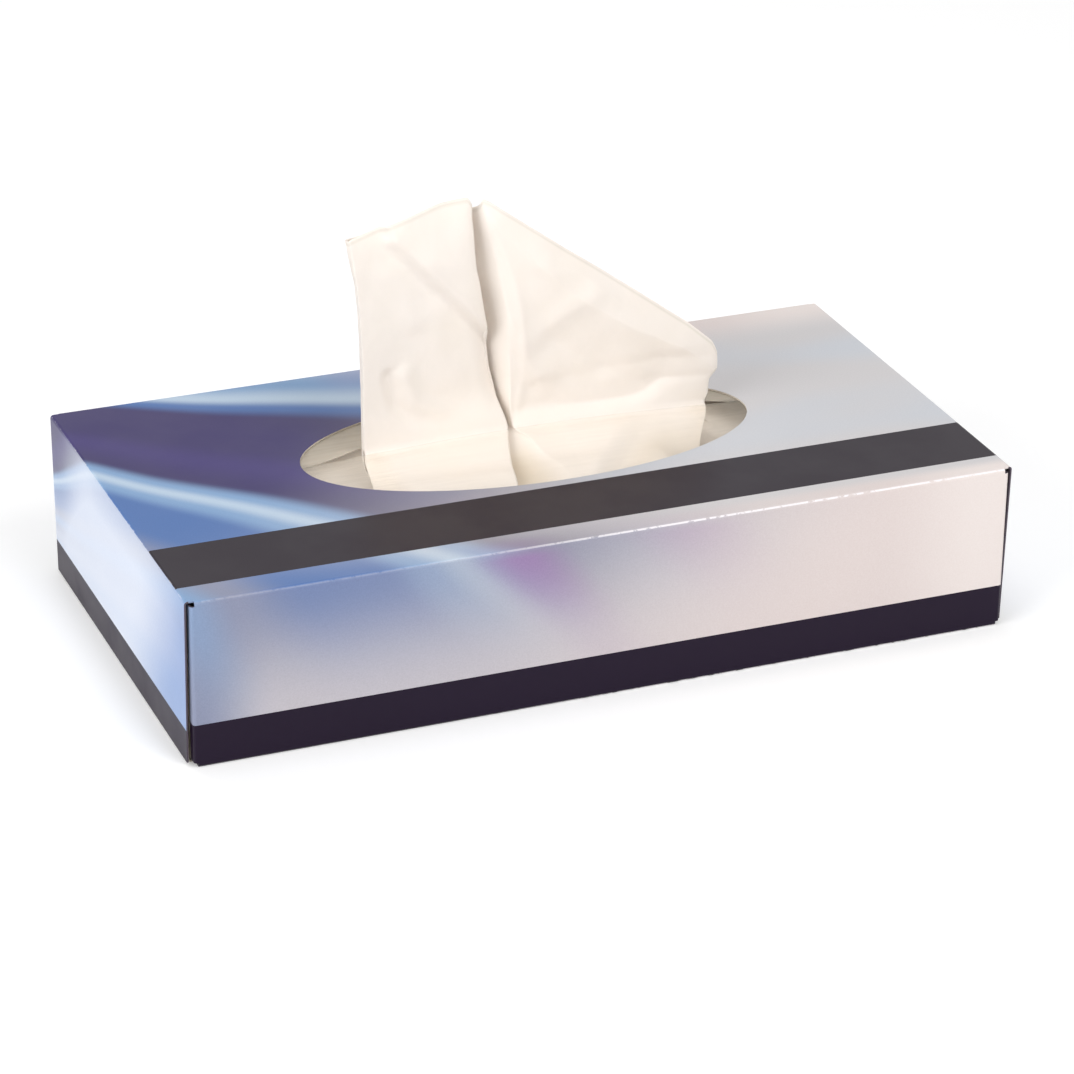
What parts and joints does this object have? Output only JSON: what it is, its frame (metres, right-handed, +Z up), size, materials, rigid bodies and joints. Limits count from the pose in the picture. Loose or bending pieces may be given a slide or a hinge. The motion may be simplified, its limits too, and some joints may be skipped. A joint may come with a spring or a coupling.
{
  "type": "tissue box",
  "caption": "Flat folded carton of tissues with an oval window, a slit film behind it and one folded tissue standing drawn out of the slit.",
  "frame": {"origin": "centre of the carton's bottom, on the surface it stands on", "axes": "+X along the carton, +Y from the printed front panel to the back panel, +Z up through the window"},
  "size_m": [0.222, 0.119, 0.1127],
  "materials": {
    "printed_board": "semi-gloss varnished print outside, bare grey-white board inside and on cut edges",
    "clear_film": "clear, slightly milky thin film",
    "folded_tissue": "soft matt tissue, folded and stacked",
    "tissue_sheet": "soft matt two-ply tissue with faint creases"
  },
  "bodies": {
    "root": {"carton": "printed_board", "film_insert": "clear_film", "tissue_stack": "folded_tissue", "drawn_tissue": "tissue_sheet"}
  },
  "joints": []
}
